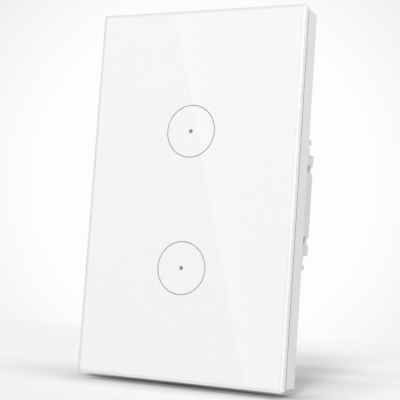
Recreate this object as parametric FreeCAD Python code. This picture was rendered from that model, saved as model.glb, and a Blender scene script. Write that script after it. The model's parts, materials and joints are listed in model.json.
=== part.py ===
import FreeCAD, Part
import math
import os

os.makedirs("parts", exist_ok=True)
Vec = FreeCAD.Vector

# Glass touch switch with two touch keys, for a single wall box. All sizes in millimetres.
# X is right as seen from the room, -Y points into the room and +Y into the wall, +Z is up.
# The origin is in the wall plane, midway between the two wall box screws.

# Glass panel
plate_w = 72.0
plate_h = 118.0
glass_t = 2.5
glass_proud = 10.4
glass_corner_r = 0.7
bevel_w = 0.5
bevel_d = 0.5
print_t = 0.15
print_edge = 0.3

# Touch keys
key_x = -0.5
key_mid_z = -1.95
key_pitch = 43.4

# Panel carrier behind the glass
tape_t = 0.3
tape_w = 5.0
carrier_t = 1.5
carrier_skirt = 2.0
carrier_hole_r = 9.5
carrier_rib_w = 1.0
carrier_rib_h = 0.8
carrier_rib_gap = 3.5
snap_x = 27.8
snap_z = 47.0
snap_w = 6.0
snap_d = 3.2
snap_len = 3.2
snap_slit = 1.0
snap_root = 0.8

# Base frame
frame_inset = 0.3
frame_corner_r = 1.0
frame_wall = 1.8
frame_back_t = 2.0
tray_r = 1.0
seam_gap = 0.75
nest_gap = 0.3
socket_wall = 1.0
socket_h = 3.3
pry_w = 12.0
pry_d = 1.5
frame_rib_w = 1.0
frame_rib_h = 1.6
frame_rib_gap = 1.0

# Mounting strap
strap_w = 60.0
strap_h = 104.0
strap_t = 1.2
strap_corner_r = 4.0
box_screw_pitch = 83.3
box_screw_hole_r = 2.2
head_access_r = 4.6
ear_notch_r = 5.0
stake_x = 20.0
stake_edge = 1.5
stake_w = 2.2
stake_gap = 0.05

# Rear housing
housing_w = 51.0
housing_h = 62.0
housing_depth = 24.5
housing_wall = 2.0
housing_corner_r = 3.0
block_mid_z = 0.9
block_h = 33.9
block_rise = 6.2
shoulder_h = 40.6
shoulder_rise = 2.3
shoulder_flat = 0.8
shoulder_fall = 0.5
lug_w = 10.0
lug_rise = 3.6
lug_root = 2.0
lug_bend = 1.7
lug_bend_rise = 2.6
lug_tip = 1.05
window_z = 12.0
window_h = 2.4
window_rise = 1.5
window_recess = 0.6
housing_gap = 0.3
ledge_w = 2.0
ledge_t = 2.0
ledge_z = 18.6
leg_w = 1.8
leg_d = 4.0
leg_z = 18.6
leg_gap = 0.1

# Inner cover and its screws
cover_t = 1.4
cover_w = 56.0
cover_h = 69.0
cover_skirt = 1.0
cover_hole_r = 7.6
cover_screw_x = 20.4
cover_screw_z = 25.8
cover_screw_r = 1.45
cover_screw_len = 11.0
cover_screw_tip_gap = 1.5
cover_screw_head_r = 2.7
cover_screw_head_h = 0.8
screw_clear = 0.25
screw_bite = 0.02
boss_wall = 1.55

# Touch board
touch_board_t = 1.2
board_gap = 0.2
spring_r = 6.0
spring_wire = 0.8
spring_turns = 3.0
spring_sides = 12
led_w = 3.0
led_h = 2.2
led_t = 1.0
led_case_t = 0.6
led_lens = 1.6

# Board connector
pin_count = 6
pin_pitch = 2.54
pin_side = 0.64
header_z = -7.0
header_depth = 2.5
header_t = 2.4
header_gap = 0.1
pin_slack = 0.1
pin_tip_gap = 0.8
socket_floor = 0.4

# Wireless module
module_w = 16.0
module_h = 22.0
module_z = 10.0
module_t = 0.8
shield_w = 13.0
shield_h = 13.0
shield_t = 2.2
shield_wall = 0.3
shield_corner_r = 0.8
shield_margin = 1.5

# Chips: body size and place of each
chip_lift = 0.2
chip_lead_t = 0.4
chip_lead_len = 1.0
chip_lead_share = 0.4
small_chip_size = (3.9, 4.9, 1.5)
small_chip_lead_count = 4
rectifier_size = (6.4, 8.2, 2.4)
rectifier_lead_count = 2
touch_chip_x = -16.5
touch_chip_z = 6.0
rectifier_x = -12.0
rectifier_z = 22.0
supply_chip_x = 12.0
supply_chip_z = 8.0

# Power board
power_board_y = 6.0
power_board_t = 1.6
board_side_gap = 0.3
board_notch = 7.2
board_corner_r = 1.0
lead_side = 0.7
lead_gap = 0.1
lead_stub = 0.8

# Terminals
pole_count = 4
pole_pitch = 8.2
terminal_z = -23.4
terminal_wall = 1.0
terminal_depth = 10.6
terminal_h = 14.6
wire_hole_r = 1.9
wire_funnel = 2.1
clamp_w = 6.6
clamp_depth = 6.0
clamp_side = 0.9
clamp_floor = 1.1
clamp_top = 2.0
clamp_opening = 3.9
clamp_slack = 0.4
clamp_foot_gap = 0.6
clamp_travel = 2.4
terminal_bar_t = 1.0
terminal_bar_w = 4.4
terminal_screw_r = 1.75
terminal_head_r = 2.8
terminal_head_h = 1.8
terminal_head_gap = 0.4
terminal_head_clear = 0.2
thread_gap = 0.05
tip_gap = 0.05
driver_hole_r = 3.1
cell_gap = 0.1
driver_slot_w = 0.9
driver_slot_d = 1.0

# Relays
relay_l = 19.0
relay_w = 15.4
relay_h = 16.6
relay_wall = 0.8
relay_corner_r = 0.8
relay_x = 12.8
relay_z = -8.1
relay_base_t = 1.8
relay_fit = 0.05
coil_lead_inset = 2.2
coil_lead_z = 5.0
common_lead_step = 3.0
contact_lead_inset = 1.6
contact_lead_z = 4.0
yoke_inset = 1.5
yoke_t = 1.2
yoke_w = 8.0
yoke_leg_h = 10.6
core_offset = 5.8
core_r = 1.9
bobbin_t = 0.6
bobbin_gap = 0.1
winding_gap = 0.3
armature_t = 1.0
armature_w = 7.6
armature_len = 10.6
armature_gap = 0.1
armature_deg = 4.5
leaf_t = 0.4
leaf_w = 3.0
leaf_reach = 15.2
leaf_lap = 5.3
button_r = 1.1
button_h = 0.5
contact_offset = 14.0
fixed_strip_t = 0.5
fixed_strip_w = 2.4
fixed_strip_side = 1.4
blade_inset = 2.2
pad_t = 0.3

# Supply parts on the power board
core_w = 13.4
core_h = 13.0
core_d = 6.0
core_leg = 4.0
core_window = 3.2
core_yoke = 2.1
core_lift = 1.0
coil_gap = 0.1
coil_side_gap = 0.2
coil_corner_r = 1.2
coil_foot_w = 8.0
coil_foot_gap = 0.3
supply_x = -15.0
supply_z = 8.6
bulk_r = 5.0
bulk_h = 16.0
bulk_x = 0.0
bulk_z = 8.2
output_r = 3.2
output_h = 9.5
output_x = 0.0
output_z = 19.0
film_w = 13.0
film_h = 12.0
film_d = 6.0
film_x = 14.4
film_z = 6.0
varistor_r = 4.4
varistor_t = 3.4
varistor_lift = 0.6
varistor_leg_x = 2.5
varistor_x = 12.4
varistor_z = 13.2
fuse_r = 4.2
fuse_h = 7.6
fuse_x = 11.4
fuse_z = 22.4
choke_r = 4.0
choke_h = 8.0
choke_x = -11.4
choke_z = 22.4

# Places worked out from the sizes above
glass_front = -glass_proud
glass_rear = glass_front + glass_t
print_rear = glass_rear + print_t
carrier_front = print_rear + tape_t
carrier_rear = carrier_front + carrier_t
frame_front = print_rear + seam_gap
frame_w = plate_w - 2 * frame_inset
frame_h = plate_h - 2 * frame_inset
tray_w = frame_w - 2 * frame_wall
tray_h = frame_h - 2 * frame_wall
carrier_w = tray_w - 2 * nest_gap
carrier_h = tray_h - 2 * nest_gap
back_front = -frame_back_t
strap_front = -strap_t
block_depth = housing_depth + block_rise
shoulder_depth = housing_depth + shoulder_rise
window_y = housing_depth + window_rise
housing_in_w = housing_w - 2 * housing_wall
housing_in_h = housing_h - 2 * housing_wall
boss_r = cover_screw_r + boss_wall
stake_z = housing_h / 2 + housing_gap + stake_edge + stake_w / 2
touch_board_front = back_front - touch_board_t
cover_rear = touch_board_front - board_gap
cover_front = cover_rear - cover_t
power_board_rear = power_board_y + power_board_t
power_board_w = housing_in_w - 2 * board_side_gap
power_board_h = housing_in_h - 2 * board_side_gap
pole_xs = [(i - (pole_count - 1) / 2) * pole_pitch for i in range(pole_count)]
terminal_w = pole_count * pole_pitch + terminal_wall
clamp_bottom = power_board_rear + clamp_foot_gap
wire_low = clamp_bottom + clamp_floor
bar_low = wire_low + clamp_opening
bar_high = bar_low + terminal_bar_t
clamp_inner_top = bar_high + clamp_slack
clamp_head = clamp_inner_top + clamp_top
screw_head_low = clamp_head + clamp_travel + terminal_head_gap
wire_y = (wire_low + bar_low) / 2
armature_y = power_board_rear + relay_base_t + yoke_leg_h + armature_gap
armature_tilt = math.sin(math.radians(armature_deg))
key_spots = [(key_x, key_mid_z + key_pitch / 2), (key_x, key_mid_z - key_pitch / 2)]
cover_screw_spots = [(sx * cover_screw_x, sz * cover_screw_z) for sx in (-1, 1) for sz in (-1, 1)]


# Helpers

def block(xs, ys, zs):
    """Box between pairs of x, y and z values."""
    corner = Vec(xs[0], ys[0], zs[0])
    return Part.makeBox(xs[1] - xs[0], ys[1] - ys[0], zs[1] - zs[0], corner)


def post(x, z, ys, r):
    """Round bar along Y."""
    return Part.makeCylinder(r, ys[1] - ys[0], Vec(x, ys[0], z), Vec(0, 1, 0))


def outline(w, h, r, y, x=0.0, z=0.0):
    """Closed rectangle with round corners in a plane of constant y."""
    left, right = x - w / 2, x + w / 2
    low, high = z - h / 2, z + h / 2
    turn = r * (1 - math.sqrt(0.5))
    corners = [
        ((right - r, low), (right - turn, low + turn), (right, low + r)),
        ((right, high - r), (right - turn, high - turn), (right - r, high)),
        ((left + r, high), (left + turn, high - turn), (left, high - r)),
        ((left, low + r), (left + turn, low + turn), (left + r, low)),
    ]
    edges = []
    last_end = corners[-1][-1]
    for points in corners:
        start, middle, end = [Vec(px, y, pz) for px, pz in points]
        edges.append(Part.LineSegment(Vec(last_end[0], y, last_end[1]), start).toShape())
        edges.append(Part.Arc(start, middle, end).toShape())
        last_end = points[-1]
    return Part.Wire(edges)


def plate(w, h, r, ys, x=0.0, z=0.0):
    """Rounded plate lying between two y values."""
    face = Part.Face(outline(w, h, r, ys[0], x, z))
    return face.extrude(Vec(0, ys[1] - ys[0], 0))


def extruded_profile(points, axis, length):
    """Straight-sided profile pushed along an axis."""
    closed = points + [points[0]]
    return Part.Face(Part.makePolygon(closed)).extrude(axis * length)


def turned(points, place):
    """Solid of revolution about Y; points are (radius, height) pairs from the axis outwards."""
    profile = [Vec(r, h, 0) for r, h in points]
    face = Part.Face(Part.makePolygon(profile + [profile[0]]))
    solid = face.revolve(Vec(0, 0, 0), Vec(0, 1, 0), 360)
    solid.translate(place)
    return solid


def joined(shapes):
    """One solid from shapes that touch or overlap."""
    return shapes[0].multiFuse(shapes[1:]).removeSplitter()


def without(shape, cutters):
    """Shape with several cutters taken away."""
    return shape.cut(cutters).removeSplitter()


def save(node, shape):
    """Write one piece to its own file."""
    if not shape.isValid():
        raise ValueError("bad shape: " + node)
    shape.exportStep("parts/" + node + ".step")


def save_group(node, shapes):
    """Write several loose solids to one file."""
    save(node, Part.makeCompound(shapes))


# Faceplate

def make_glass():
    bevel_y = glass_front + bevel_d
    front = outline(plate_w - 2 * bevel_w, plate_h - 2 * bevel_w, glass_corner_r - bevel_w, glass_front)
    full = outline(plate_w, plate_h, glass_corner_r, bevel_y)
    bevel = Part.makeLoft([front, full], True, True)
    body = plate(plate_w, plate_h, glass_corner_r, (bevel_y, glass_rear))
    save("glass_panel", joined([bevel, body]))


def make_print():
    size = (plate_w - 2 * print_edge, plate_h - 2 * print_edge)
    save("glass_print", plate(*size, glass_corner_r, (glass_rear, print_rear)))


def make_tape():
    ys = (print_rear, carrier_front)
    outer = plate(carrier_w, carrier_h, tray_r, ys)
    half_w, half_h = carrier_w / 2 - tape_w, carrier_h / 2 - tape_w
    save("panel_tape", outer.cut(block((-half_w, half_w), ys, (-half_h, half_h))))


def snap_post(x, z):
    """Split post that plugs into a socket of the base frame."""
    ys = (carrier_rear, carrier_rear + snap_len)
    body = block((x - snap_w / 2, x + snap_w / 2), ys, (z - snap_d / 2, z + snap_d / 2))
    slit_ys = (carrier_rear + snap_root, carrier_rear + snap_len)
    slit = block((x - snap_slit / 2, x + snap_slit / 2), slit_ys, (z - snap_d / 2, z + snap_d / 2))
    return body.cut(slit)


def make_carrier():
    sheet = plate(carrier_w, carrier_h, tray_r, (carrier_front, carrier_rear))
    skirt_ys = (carrier_rear, carrier_rear + carrier_skirt)
    skirt_out = plate(carrier_w, carrier_h, tray_r, skirt_ys)
    half_w, half_h = carrier_w / 2 - carrier_t, carrier_h / 2 - carrier_t
    skirt_in = block((-half_w, half_w), skirt_ys, (-half_h, half_h))
    parts = [sheet, skirt_out.cut(skirt_in)]
    rib_ys = (carrier_rear, carrier_rear + carrier_rib_h)
    for side in (-1, 1):
        z = side * (cover_h / 2 + carrier_rib_gap + carrier_rib_w / 2)
        parts.append(block((-half_w, half_w), rib_ys, (z - carrier_rib_w / 2, z + carrier_rib_w / 2)))
    for sx in (-1, 1):
        for sz in (-1, 1):
            parts.append(snap_post(sx * snap_x, sz * snap_z))
    holes = [post(x, z, (carrier_front, carrier_rear), carrier_hole_r) for x, z in key_spots]
    save("panel_carrier", without(joined(parts), holes))


# Base frame and strap

def snap_socket(x, z):
    """Open-topped tower that takes a snap post."""
    top = back_front - socket_h
    outer_w = snap_w / 2 + nest_gap + socket_wall
    outer_d = snap_d / 2 + nest_gap + socket_wall
    outer = block((x - outer_w, x + outer_w), (top, back_front), (z - outer_d, z + outer_d))
    inner_w = snap_w / 2 + nest_gap
    inner_d = snap_d / 2 + nest_gap
    return outer.cut(block((x - inner_w, x + inner_w), (top, back_front), (z - inner_d, z + inner_d)))


def frame_opening():
    """Cutter for the opening over the boards, which leaves a lug at each corner for a cover screw."""
    corner_w = housing_in_w / 2 - cover_screw_x + boss_r
    corner_h = housing_in_h / 2 - cover_screw_z + boss_r
    ys = (back_front, 0)
    half_w, half_h = housing_in_w / 2, housing_in_h / 2
    tall = block((-half_w + corner_w, half_w - corner_w), ys, (-half_h, half_h))
    wide = block((-half_w, half_w), ys, (-half_h + corner_h, half_h - corner_h))
    return tall.fuse(wide)


def stake(x, z, ys, grow):
    """Square peg that locates the strap, or its hole."""
    half = stake_w / 2 + grow
    return block((x - half, x + half), ys, (z - half, z + half))


def hold_down(sx, sz):
    """Leg that reaches from the opening's edge to the front of the power board."""
    edge = housing_in_w / 2
    near = edge - housing_gap
    far = near - leg_w
    zs = (sz * leg_z - leg_d / 2, sz * leg_z + leg_d / 2)
    tab = block(sorted((sx * far, sx * (edge + leg_w))), (back_front, strap_front), zs)
    leg = block(sorted((sx * far, sx * near)), (back_front, power_board_y - leg_gap), zs)
    return [tab, leg]


def make_base_frame():
    body = plate(frame_w, frame_h, frame_corner_r, (frame_front, 0))
    tray = plate(tray_w, tray_h, tray_r, (frame_front, back_front))
    recess_w, recess_h = strap_w + 2 * nest_gap, strap_h + 2 * nest_gap
    recess = plate(recess_w, recess_h, strap_corner_r + nest_gap, (strap_front, 0))
    cuts = [tray, recess, frame_opening()]
    for side in (-1, 1):
        cuts.append(post(0, side * box_screw_pitch / 2, (back_front, 0), head_access_r))
    for x, z in cover_screw_spots:
        cuts.append(post(x, z, (back_front, 0), cover_screw_r + screw_clear))
    pry_zs = (-frame_h / 2, -frame_h / 2 + frame_wall)
    cuts.append(block((-pry_w / 2, pry_w / 2), (frame_front, frame_front + pry_d), pry_zs))
    adds = []
    for sx in (-1, 1):
        for sz in (-1, 1):
            adds.append(snap_socket(sx * snap_x, sz * snap_z))
            adds.append(stake(sx * stake_x, sz * stake_z, (strap_front, 0), 0))
            adds += hold_down(sx, sz)
    rib_ys = (back_front - frame_rib_h, back_front)
    for sz in (-1, 1):
        z = sz * (cover_h / 2 + frame_rib_gap + frame_rib_w / 2)
        half = tray_w / 2
        adds.append(block((-half, half), rib_ys, (z - frame_rib_w / 2, z + frame_rib_w / 2)))
        for x in (-snap_x / 2, snap_x / 2):
            zs = sorted((z, sz * tray_h / 2))
            adds.append(block((x - frame_rib_w / 2, x + frame_rib_w / 2), rib_ys, zs))
    save("base_frame", joined([without(body, cuts)] + adds))


def make_strap():
    body = plate(strap_w, strap_h, strap_corner_r, (strap_front, 0))
    window_r = housing_corner_r + housing_gap
    cuts = [plate(housing_w + 2 * housing_gap, housing_h + 2 * housing_gap, window_r, (strap_front, 0))]
    for side in (-1, 1):
        cuts.append(post(0, side * box_screw_pitch / 2, (strap_front, 0), box_screw_hole_r))
        for sx in (-1, 1):
            cuts.append(post(sx * strap_w / 2, side * box_screw_pitch / 2, (strap_front, 0), ear_notch_r))
            cuts.append(stake(sx * stake_x, side * stake_z, (strap_front, 0), stake_gap))
    save("mounting_strap", without(body, cuts))


# Rear housing

def housing_hull(grow):
    """Outer form of the housing, or its hollow when grow is minus the wall."""
    w = housing_w + 2 * grow
    front = strap_front
    radius = housing_corner_r + grow
    main = plate(w, housing_h + 2 * grow, radius, (front, housing_depth + grow))
    raised = block((-w / 2, w / 2), (front, block_depth + grow),
                   (block_mid_z - block_h / 2 - grow, block_mid_z + block_h / 2 + grow))
    return joined([main, shoulder(w, grow), raised])


def shoulder(w, grow):
    """Step on both sides of the raised block, which falls off a little away from it."""
    edge_z = shoulder_h / 2 + grow
    flat_z = block_h / 2 + shoulder_flat
    top = shoulder_depth + grow
    low = top - shoulder_fall
    half = [(flat_z, top), (edge_z, low), (edge_z, strap_front)]
    profile = [(-z, y) for z, y in reversed(half)] + half
    points = [Vec(-w / 2, y, block_mid_z + z) for z, y in profile]
    return extruded_profile(points, Vec(1, 0, 0), w)


def lug(side_x, side_z):
    """Ramped rib beside the shoulder, square towards the raised block."""
    flat_z = block_mid_z + side_z * shoulder_h / 2
    x = side_x * housing_w / 2
    profile = [
        (0, 0),
        (lug_rise, 0),
        (lug_rise, lug_tip),
        (lug_bend_rise, lug_bend),
        (0, lug_root),
    ]
    points = [Vec(x, housing_depth + rise, flat_z + side_z * out) for rise, out in profile]
    return extruded_profile(points, Vec(-side_x, 0, 0), lug_w)


def make_housing():
    walls = housing_hull(0).cut(housing_hull(-housing_wall))
    adds = [walls]
    floor_y = housing_depth - housing_wall
    inner = housing_in_w / 2
    inner_z = housing_in_h / 2
    for x, z in cover_screw_spots:
        tower_x = sorted((x - math.copysign(boss_r, x), math.copysign(inner, x)))
        tower_z = sorted((z - math.copysign(boss_r, z), math.copysign(inner_z, z)))
        adds.append(block(tower_x, (strap_front, floor_y), tower_z))
    for side in (-1, 1):
        ledge_x = sorted((side * inner, side * (inner - ledge_w)))
        for side_z in (-1, 1):
            mid = side_z * ledge_z
            adds.append(block(ledge_x, (power_board_rear, floor_y), (mid - ledge_t / 2, mid + ledge_t / 2)))
            adds.append(lug(side, side_z))
    cuts = []
    for x, z in cover_screw_spots:
        cuts.append(post(x, z, (strap_front, strap_front + cover_screw_len), cover_screw_r + screw_bite))
    for side in (-1, 1):
        outer = side * housing_w / 2
        wall_x = sorted((outer, side * inner))
        recess_x = sorted((outer, outer - side * window_recess))
        for side_z in (-1, 1):
            mid = block_mid_z + side_z * window_z
            window_zs = (mid - window_h / 2, mid + window_h / 2)
            cuts.append(block(wall_x, (window_y, block_depth - housing_wall), window_zs))
            cuts.append(block(recess_x, (window_y, block_depth), window_zs))
    for x in pole_xs:
        cuts.append(post(x, terminal_z, (housing_depth - housing_wall, housing_depth), driver_hole_r))
        floor = Vec(x, wire_y, -housing_h / 2)
        cuts.append(Part.makeCylinder(wire_hole_r, housing_wall, floor, Vec(0, 0, 1)))
    save("rear_housing", without(joined(adds), cuts))


# Inner cover

def make_inner_cover():
    sheet = plate(cover_w, cover_h, housing_corner_r, (cover_front, cover_rear))
    skirt_ys = (cover_rear, back_front)
    skirt_out = plate(cover_w, cover_h, housing_corner_r, skirt_ys)
    inner_w = cover_w - 2 * cover_skirt
    inner_h = cover_h - 2 * cover_skirt
    skirt = skirt_out.cut(plate(inner_w, inner_h, housing_corner_r - cover_skirt, skirt_ys))
    cuts = []
    for x, z in key_spots:
        cuts.append(post(x, z, (cover_front, cover_rear), cover_hole_r))
    for x, z in cover_screw_spots:
        cuts.append(post(x, z, (cover_front, cover_rear), cover_screw_r + screw_clear))
    save("inner_cover", without(joined([sheet, skirt]), cuts))


def make_cover_screws():
    seat = cover_front
    head_top = seat - cover_screw_head_h
    tip = strap_front + cover_screw_len - cover_screw_tip_gap
    profile = [
        (0, head_top), (cover_screw_head_r, head_top), (cover_screw_head_r, seat),
        (cover_screw_r, seat), (cover_screw_r, tip), (0, tip),
    ]
    save_group("cover_screws", [turned(profile, Vec(x, 0, z)) for x, z in cover_screw_spots])


# Touch board and what sits on it

def make_touch_board():
    w = cover_w - 2 * cover_skirt - 2 * board_side_gap
    h = cover_h - 2 * cover_skirt - 2 * board_side_gap
    ys = (touch_board_front, back_front)
    sheet = plate(w, h, housing_corner_r - cover_skirt, ys)
    cuts = [post(x, z, ys, cover_screw_r + screw_clear) for x, z in cover_screw_spots]
    half = pin_side / 2
    for x in header_xs():
        cuts.append(block((x - half, x + half), ys, (header_z - half, header_z + half)))
    save("touch_board", without(sheet, cuts))


def coil_section(angle, y):
    """Square wire section of a coil about Y, at one angle and height."""
    half = spring_wire / 2
    corners = []
    for dr, dy in ((-half, -half), (half, -half), (half, half), (-half, half)):
        r = spring_r + dr
        corners.append(Vec(r * math.cos(angle), y + dy, r * math.sin(angle)))
    return Part.makePolygon(corners + [corners[0]])


def make_touch_spring(node, x, z):
    """Coil between the touch board and the printed back of the glass, in short straight lengths."""
    height = touch_board_front - print_rear - nest_gap - spring_wire
    steps = int(spring_turns * spring_sides)
    sections = []
    for i in range(steps + 1):
        share = i / steps
        sections.append(coil_section(2 * math.pi * spring_turns * share, -spring_wire / 2 - height * share))
    coil = Part.makeLoft(sections, True, True)
    coil.translate(Vec(x, touch_board_front, z))
    save(node, coil)


def make_leds():
    leds = []
    for x, z in key_spots:
        base_front = touch_board_front - led_case_t
        case_ys = (base_front, touch_board_front)
        case = block((x - led_w / 2, x + led_w / 2), case_ys, (z - led_h / 2, z + led_h / 2))
        lens = block((x - led_lens / 2, x + led_lens / 2), (touch_board_front - led_t, base_front),
                     (z - led_lens / 2, z + led_lens / 2))
        leds.append(case.fuse(lens).removeSplitter())
    save_group("indicator_leds", leds)


def chip(x, z, size, leads_each_side, board_face, away):
    """Flat chip with a row of leads on its left and right; away is the direction off the board."""
    w, h, t = size
    low = board_face + away * chip_lift
    high = board_face + away * (chip_lift + t)
    parts = [block((x - w / 2, x + w / 2), sorted((low, high)), (z - h / 2, z + h / 2))]
    step = h / leads_each_side
    half_lead = step * chip_lead_share / 2
    lead_ys = sorted((board_face, board_face + away * (chip_lift + chip_lead_t)))
    for i in range(leads_each_side):
        lead_z = z - h / 2 + step * (i + 0.5)
        for side in (-1, 1):
            xs = sorted((x + side * w / 2, x + side * (w / 2 + chip_lead_len)))
            parts.append(block(xs, lead_ys, (lead_z - half_lead, lead_z + half_lead)))
    return joined(parts)


def make_wireless_module():
    rear = back_front + module_t
    module_zs = (module_z - module_h / 2, module_z + module_h / 2)
    save("wireless_board", block((-module_w / 2, module_w / 2), (back_front, rear), module_zs))
    shield_z = module_z - (module_h - shield_h) / 2 + shield_margin
    outer = plate(shield_w, shield_h, shield_corner_r, (rear, rear + shield_t), 0, shield_z)
    half_w = shield_w / 2 - shield_wall
    half_h = shield_h / 2 - shield_wall
    inner_ys = (rear, rear + shield_t - shield_wall)
    inner = block((-half_w, half_w), inner_ys, (shield_z - half_h, shield_z + half_h))
    save("wireless_shield", outer.cut(inner))


def header_xs():
    return [(i - (pin_count - 1) / 2) * pin_pitch for i in range(pin_count)]


def make_board_connector():
    half = pin_side / 2
    strip_w = pin_count * pin_pitch / 2
    strip_rear = back_front + header_t
    zs = (header_z - header_depth / 2, header_z + header_depth / 2)
    pin_zs = (header_z - half, header_z + half)
    strip = block((-strip_w, strip_w), (back_front, strip_rear), zs)
    socket_front = strip_rear + header_gap
    socket = block((-strip_w, strip_w), (socket_front, power_board_y), zs)
    pin_tip = power_board_y - pin_tip_gap
    pins, strip_holes, socket_holes = [], [], []
    for x in header_xs():
        pins.append(block((x - half, x + half), (touch_board_front, pin_tip), pin_zs))
        strip_holes.append(block((x - half, x + half), (back_front, strip_rear), pin_zs))
        wide = half + pin_slack
        socket_holes.append(block((x - wide, x + wide), (socket_front, power_board_y - socket_floor),
                                  (header_z - wide, header_z + wide)))
    save("pin_header", without(strip, strip_holes))
    save("pin_socket", without(socket, socket_holes))
    save_group("header_pins", pins)


# Power board

def lead_spots():
    """Where leads of the big parts go through the power board."""
    spots = [(x, terminal_bar_leg_z()) for x in pole_xs]
    for cx in (-relay_x, relay_x):
        spots += relay_lead_spots(cx)
    return spots


def lead(x, z):
    half = lead_side / 2
    return block((x - half, x + half), (power_board_y - lead_stub, power_board_rear), (z - half, z + half))


def make_power_board():
    sheet = plate(power_board_w, power_board_h, board_corner_r, (power_board_y, power_board_rear))
    cuts = []
    half_w, half_h = power_board_w / 2, power_board_h / 2
    ys = (power_board_y, power_board_rear)
    for sx in (-1, 1):
        for sz in (-1, 1):
            xs = sorted((sx * half_w, sx * (half_w - board_notch)))
            zs = sorted((sz * half_h, sz * (half_h - board_notch)))
            cuts.append(block(xs, ys, zs))
    hole = lead_side / 2 + lead_gap
    for x, z in lead_spots():
        cuts.append(block((x - hole, x + hole), ys, (z - hole, z + hole)))
    save("power_board", without(sheet, cuts))


# Terminals

def terminal_bar_leg_z():
    return terminal_z + clamp_depth / 2 + terminal_wall + terminal_bar_t / 2


def make_terminal_block():
    top = power_board_rear + terminal_h
    low_z = -housing_in_h / 2 + nest_gap
    high_z = low_z + terminal_depth
    body = block((-terminal_w / 2, terminal_w / 2), (power_board_rear, top), (low_z, high_z))
    cell_w = (pole_pitch - terminal_wall) / 2
    cell_low = terminal_z - clamp_depth / 2 - terminal_wall
    cell_high = terminal_bar_leg_z() + terminal_bar_t / 2 + cell_gap
    cell_top = screw_head_low - cell_gap
    cuts = []
    for x in pole_xs:
        cuts.append(block((x - cell_w, x + cell_w), (power_board_rear, cell_top), (cell_low, cell_high)))
        cuts.append(post(x, terminal_z, (cell_top, top), terminal_head_r + terminal_head_clear))
        cuts.append(block((x - wire_funnel, x + wire_funnel), (wire_y - wire_funnel, wire_y + wire_funnel),
                          (low_z, cell_low)))
    save("terminal_block", without(body, cuts))


def make_terminal_bars():
    bars = []
    leg_z = terminal_bar_leg_z()
    half_w, half_t = terminal_bar_w / 2, terminal_bar_t / 2
    flat_zs = (terminal_z - clamp_depth / 2, leg_z + half_t)
    for x in pole_xs:
        flat = block((x - half_w, x + half_w), (bar_low, bar_high), flat_zs)
        leg = block((x - half_w, x + half_w), (power_board_rear, bar_low), (leg_z - half_t, leg_z + half_t))
        bars.append(joined([flat, leg, lead(x, leg_z)]))
    save_group("terminal_bars", bars)


def make_terminal_clamp(node, x):
    """Wire cage that the screw lifts towards the fixed bar."""
    half_w, half_d = clamp_w / 2, clamp_depth / 2
    zs = (terminal_z - half_d, terminal_z + half_d)
    body = block((x - half_w, x + half_w), (clamp_bottom, clamp_head), zs)
    inner = block((x - half_w + clamp_side, x + half_w - clamp_side), (wire_low, clamp_inner_top), zs)
    thread = post(x, terminal_z, (clamp_inner_top, clamp_head), terminal_screw_r + thread_gap)
    save(node, without(body, [inner, thread]))


def make_terminal_screw(node, x):
    tip = bar_high + tip_gap
    head_top = screw_head_low + terminal_head_h
    profile = [
        (0, tip), (terminal_screw_r, tip), (terminal_screw_r, screw_head_low),
        (terminal_head_r, screw_head_low), (terminal_head_r, head_top), (0, head_top),
    ]
    screw = turned(profile, Vec(x, 0, terminal_z))
    slot = block((x - terminal_head_r, x + terminal_head_r), (head_top - driver_slot_d, head_top),
                 (terminal_z - driver_slot_w / 2, terminal_z + driver_slot_w / 2))
    save(node, screw.cut(slot))


# Relays

def armature_left(cx):
    """Left side of the yoke, where the armature tips."""
    return cx - relay_l / 2 + yoke_inset


def relay_lead_spots(cx):
    left = cx - relay_l / 2 + coil_lead_inset
    right = cx + relay_l / 2 - contact_lead_inset
    return [
        (left, relay_z - coil_lead_z), (left, relay_z + coil_lead_z), (left + common_lead_step, relay_z),
        (right, relay_z - contact_lead_z), (right, relay_z + contact_lead_z),
    ]


def make_relay_case(side, cx):
    ys = (power_board_rear, power_board_rear + relay_h)
    outer = plate(relay_l, relay_w, relay_corner_r, ys, cx, relay_z)
    half_l = relay_l / 2 - relay_wall
    half_w = relay_w / 2 - relay_wall
    hollow = block((cx - half_l, cx + half_l), (power_board_rear, power_board_rear + relay_h - relay_wall),
                   (relay_z - half_w, relay_z + half_w))
    save("relay_case_" + side, outer.cut(hollow))
    base_l = half_l - relay_fit
    base_w = half_w - relay_fit
    base = block((cx - base_l, cx + base_l), (power_board_rear, power_board_rear + relay_base_t),
                 (relay_z - base_w, relay_z + base_w))
    leads = [lead(x, z) for x, z in relay_lead_spots(cx)]
    save("relay_base_" + side, joined([base] + leads))


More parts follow.
